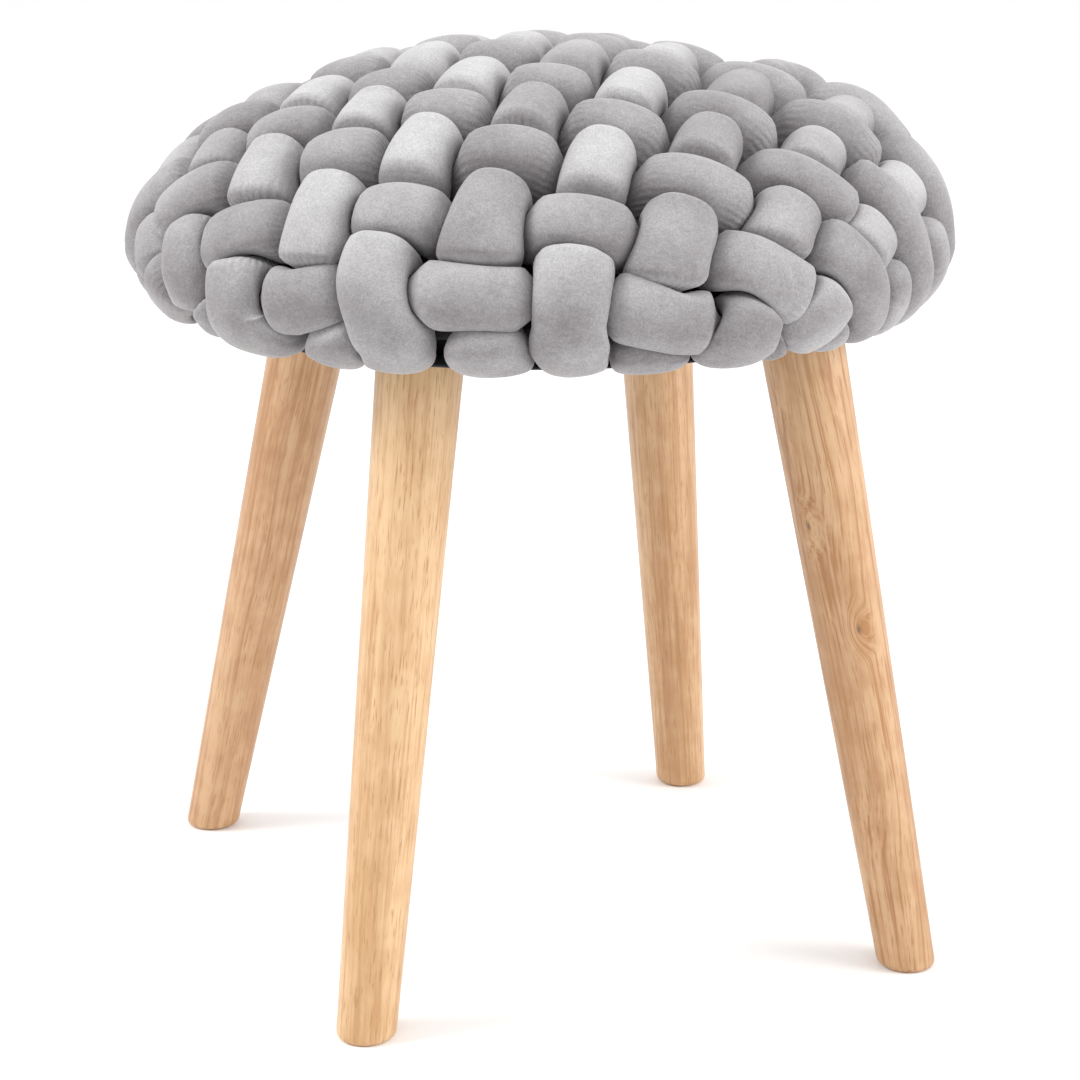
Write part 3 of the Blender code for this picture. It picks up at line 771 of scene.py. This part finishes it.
WOODS = {
    # how dark, how strongly figured, knots: x, y, z and size, in metres along the leg's grain
    "leg_front_left": (0.0, 0.3, ()),
    "leg_front_right": (
        0.75,
        1.0,
        ((-0.004, -0.018, 0.218, 0.002), (0.009, 0.015, 0.238, 0.0018), (0.011, -0.013, 0.17, 0.002)),
    ),
    "leg_back_right": (0.55, 0.35, ()),
    "leg_back_left": (0.85, 0.4, ()),
}


def light_wood(name, seed, darker, figure, knots):
    """Light, fine-grained wood under thin lacquer. Its grain follows the leg's own length and
    swings round the knots."""
    shader = Shader(name)
    spot = shader.stored("leg_grain")
    knot_shade, near_knots = 0.0, 0.0
    for x, y, z, size in knots:
        away = shader.stretch(shader.vector_maths("ADD", spot, (-x, -y, -z)), KNOT_STRETCH)
        away = shader.vector_maths("LENGTH", away)
        near = shader.range(away, 0.0, size * KNOT_REACH, 1.0, 0.0)
        near_knots = shader.maths("ADD", near_knots, near)
        shade = shader.range(away, 0.0, size, KNOT_STRENGTH, 0.0)
        knot_shade = shader.maths("ADD", knot_shade, shade)

    def grained(vector, across, along, detail, roughness):
        """Noise stretched along the grain."""
        stretched = shader.stretch(vector, (across, across, along))
        return shader.noise(stretched, 1.0, detail, roughness)

    spot = shader.vector_maths("ADD", spot, steps(seed, WOOD_STEPS))
    bend = shader.maths("SUBTRACT", grained(spot, *WOOD_BENDS), 0.5)
    bend = shader.maths("MULTIPLY", bend, BEND_SWING * figure)
    bend = shader.maths("ADD", bend, shader.maths("MULTIPLY", near_knots, KNOT_SWING))
    bend = shader.node("ShaderNodeCombineXYZ", X=bend, Y=bend).outputs[0]
    bent = shader.vector_maths("ADD", spot, bend)
    lines = grained(bent, *WOOD_LINES)
    mottle = grained(spot, *WOOD_MOTTLE)
    pores = grained(bent, *WOOD_PORES)
    tone = shader.maths("MULTIPLY", grained(bent, *WOOD_BANDS), BANDS_PART)
    tone = shader.maths("ADD", tone, shader.maths("MULTIPLY", lines, LINES_PART))
    tone = shader.maths("ADD", tone, shader.maths("MULTIPLY", mottle, MOTTLE_PART))
    tone = shader.range(tone, *WOOD_TONES)
    base = shader.blend(tone, shader.blend(darker, *WOOD_PALE), shader.blend(darker, *WOOD_DEEP))
    streaks = shader.range(lines, STREAK_START, STREAK_FULL, 0.0, STREAK_STRENGTH * figure)
    base = shader.blend(streaks, base, STREAK_COLOUR)
    base = shader.blend(shader.range(pores, *FLECK_TONES), base, FLECK_COLOUR)
    base = shader.blend(knot_shade, base, KNOT_COLOUR)
    normal = shader.bump(pores, *WOOD_BUMP)
    return shader.finish({"Base Color": base, "Normal": normal, **WOOD_SURFACE})


# ---- Pieces ----------------------------------------------------------------------------------
def make_tubes():
    tubes = weave()
    faces = ring_faces(RINGS, SIDES)
    for seed, tube in enumerate(tubes):
        points, sections = grow(tube, tubes)
        if not tube.runs_along:
            # The rings turn the other way there, so this makes the faces look outwards.
            points, sections = points[:, ::-1], sections[:, ::-1]
        material = velvet(f"velvet_{tube.name}", tube.light, seed)
        piece = make_mesh(f"velvet_tube_{tube.name}", points.reshape(-1, 3), faces, material)
        add_coordinates(piece, "tube_section", sections.reshape(-1, 3))
        dress(piece, f"tube_{tube.name}")


def make_round(name, profile, material):
    """A round piece turned from radii and heights."""
    angles = ring_angles(ROUND_SIDES)
    rings = [
        np.stack((r * np.cos(angles), r * np.sin(angles), np.full(ROUND_SIDES, z)), -1)
        for r, z in profile
    ]
    return make_mesh(name, np.concatenate(rings), ring_faces(len(rings), ROUND_SIDES), material)


def make_underside():
    """The dark padded seat that shows between the tubes, and the cloth below it."""
    cloth = black_cloth("black_cloth")
    _, _, radii, heights = section(np.linspace(WALKED[-1], SEAT_LAST_RING, SEAT_RINGS))
    profile = [*SEAT_EDGE, *zip(radii - SEAT_INSET, heights - SEAT_INSET)]
    seat = make_round("padded_seat", profile, cloth)
    dress(seat, "seat")
    radii = np.linspace(CLOTH_MIDDLE, CLOTH_FLAT_RADIUS, CLOTH_RINGS)
    heights = CLOTH_BOTTOM + CLOTH_RIPPLE * np.sin(radii / CLOTH_RIPPLE_RADIUS)
    under = make_round("black_under_cloth", [*zip(radii, heights), *CLOTH_EDGE], cloth)
    dress(under, "under_cloth")


def make_leg(name, foot, top, material):
    """A turned leg with a softly rounded foot."""
    foot, top = np.array(foot), np.array(top)
    lean = foot - top
    splay = math.atan2(np.hypot(*lean), LEG_TOP)
    outward = lean / np.hypot(*lean)
    sideways = np.array((-outward[1], outward[0]))
    heights = np.concatenate((FOOT_HEIGHTS, np.linspace(SHAFT_START, LEG_TOP, SHAFT_RINGS)))
    below = np.clip(1.0 - heights / FOOT_ROUNDING, 0.0, 1.0)
    rounding = FOOT_ROUNDING * (1.0 - np.sqrt(1.0 - below**2))
    angles = ring_angles(LEG_SIDES)
    rings, grain = [], []
    for height, narrower in zip(heights, rounding):
        part = height / LEG_TOP
        radius = LEG_FOOT_RADIUS + (LEG_TOP_RADIUS - LEG_FOOT_RADIUS) * part - narrower
        out = radius * np.cos(angles) / math.cos(splay)
        beside = radius * np.sin(angles)
        flat = foot - lean * part + out[:, None] * outward + beside[:, None] * sideways
        level = np.full(LEG_SIDES, height)
        rings.append(np.column_stack((flat, level)))
        grain.append(np.column_stack((out, beside, level)) * MM)
    faces = ring_faces(len(rings), LEG_SIDES)
    piece = make_mesh(f"turned_{name}", np.concatenate(rings), faces, material)
    add_coordinates(piece, "leg_grain", np.concatenate(grain))
    dress(piece, name)


def make_legs():
    for seed, (name, *xy) in enumerate(LEGS):
        wood = light_wood(f"wood_{name}", seed + 1, *WOODS[name])
        make_leg(name, xy[:2], xy[2:], wood)


# ---- Studio, in metres -----------------------------------------------------------------------
FLOOR_HALF = 6.0
FLOOR_COLOUR = colour(0.99, 0.99, 0.99)
FLOOR_ROUGHNESS = 0.9
LAMPS = (
    # name, place, size across, power in watts
    ("key", (-1.5, -0.7, 1.6), 1.0, 24.0),
    ("fill", (1.75, 0.0, 1.0), 1.2, 20.0),
)
LAMP_AIM = Vector((0.0, 0.0, 0.3))
BACKGROUND_COLOUR = colour(1.0, 1.0, 1.0)
BACKGROUND_STRENGTH = 1.0
CAMERA_BEARING = math.radians(14.5)
CAMERA_DISTANCE = 1.321
CAMERA_HEIGHT = 0.560
CAMERA_PITCH = 0.274  # in radians, as the yaw
CAMERA_YAW = -0.0014
CAMERA_LENS = 91.42  # in millimetres, as the sensor
CAMERA_SENSOR = 36.0
CAMERA_NEAREST = 0.01


def make_floor():
    shader = Shader("studio_floor")
    corners = [(-1.0, -1.0, 0.0), (1.0, -1.0, 0.0), (1.0, 1.0, 0.0), (-1.0, 1.0, 0.0)]
    mesh = bpy.data.meshes.new("studio_floor")
    mesh.from_pydata((np.array(corners) * FLOOR_HALF).tolist(), [], [(0, 1, 2, 3)])
    mesh.materials.append(shader.finish({"Base Color": FLOOR_COLOUR, "Roughness": FLOOR_ROUGHNESS}))
    floor = add_object("studio_floor", mesh)


def make_lamp(name, location, size, power):
    light = bpy.data.lights.new(name, "AREA")
    light.shape = "DISK"
    light.size = size
    light.energy = power
    lamp = add_object(name, light)
    lamp.location = location
    lamp.rotation_euler = (LAMP_AIM - Vector(location)).to_track_quat("-Z", "Y").to_euler()


def make_background():
    world = bpy.data.worlds.new("studio")
    world.use_nodes = True
    background = world.node_tree.nodes["Background"]
    background.inputs["Color"].default_value = BACKGROUND_COLOUR
    background.inputs["Strength"].default_value = BACKGROUND_STRENGTH
    bpy.context.scene.world = world
    bpy.context.scene.view_settings.view_transform = "Standard"


def make_camera():
    camera = add_object("camera", bpy.data.cameras.new("camera"))
    x = CAMERA_DISTANCE * math.sin(CAMERA_BEARING) + SEAT_MIDDLE[0] * MM
    y = -CAMERA_DISTANCE * math.cos(CAMERA_BEARING) + SEAT_MIDDLE[1] * MM
    camera.location = (x, y, CAMERA_HEIGHT)
    camera.rotation_euler = (math.pi / 2 - CAMERA_PITCH, 0.0, CAMERA_BEARING + CAMERA_YAW)
    camera.data.sensor_width = CAMERA_SENSOR
    camera.data.lens = CAMERA_LENS
    camera.data.clip_start = CAMERA_NEAREST
    bpy.context.scene.camera = camera


make_tubes()
make_underside()
make_legs()
make_floor()
for lamp_row in LAMPS:
    make_lamp(*lamp_row)
make_background()
make_camera()
